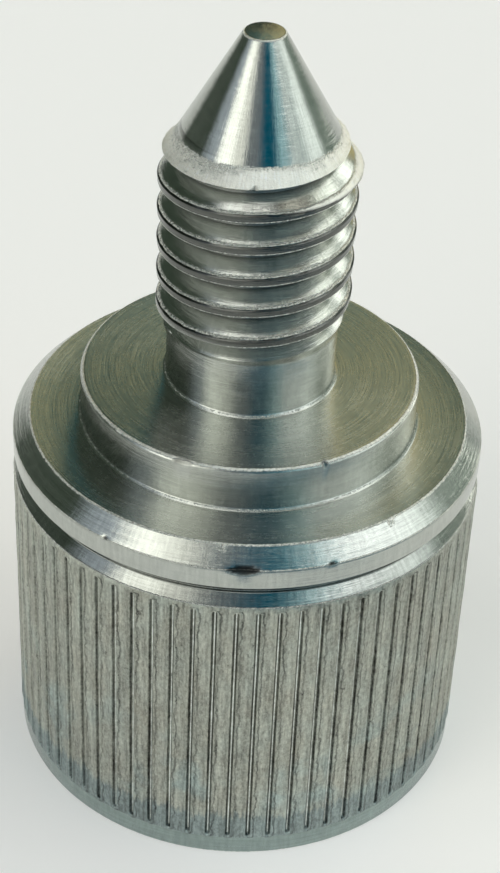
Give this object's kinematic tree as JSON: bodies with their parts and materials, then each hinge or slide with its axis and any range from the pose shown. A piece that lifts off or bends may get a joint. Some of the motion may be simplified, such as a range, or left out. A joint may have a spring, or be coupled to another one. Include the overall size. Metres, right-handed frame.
{
  "type": "thumb screw",
  "caption": "Turned steel thumb screw with a tall knurled head, a low boss, a relieved neck, a coarse right-hand thread and a cone point",
  "frame": {"origin": "centre of the head's flat end face, which is the underside the screw stands on", "axes": "+Z runs along the screw's axis from the head's end face to the cone point; -Y faces the viewer; +X is to the viewer's right"},
  "size_m": [0.02, 0.02, 0.0339],
  "materials": {
    "steel": "turned and knurled bright steel with fine concentric tool marks"
  },
  "bodies": {
    "root": {"thumb_screw": "steel"}
  },
  "joints": []
}
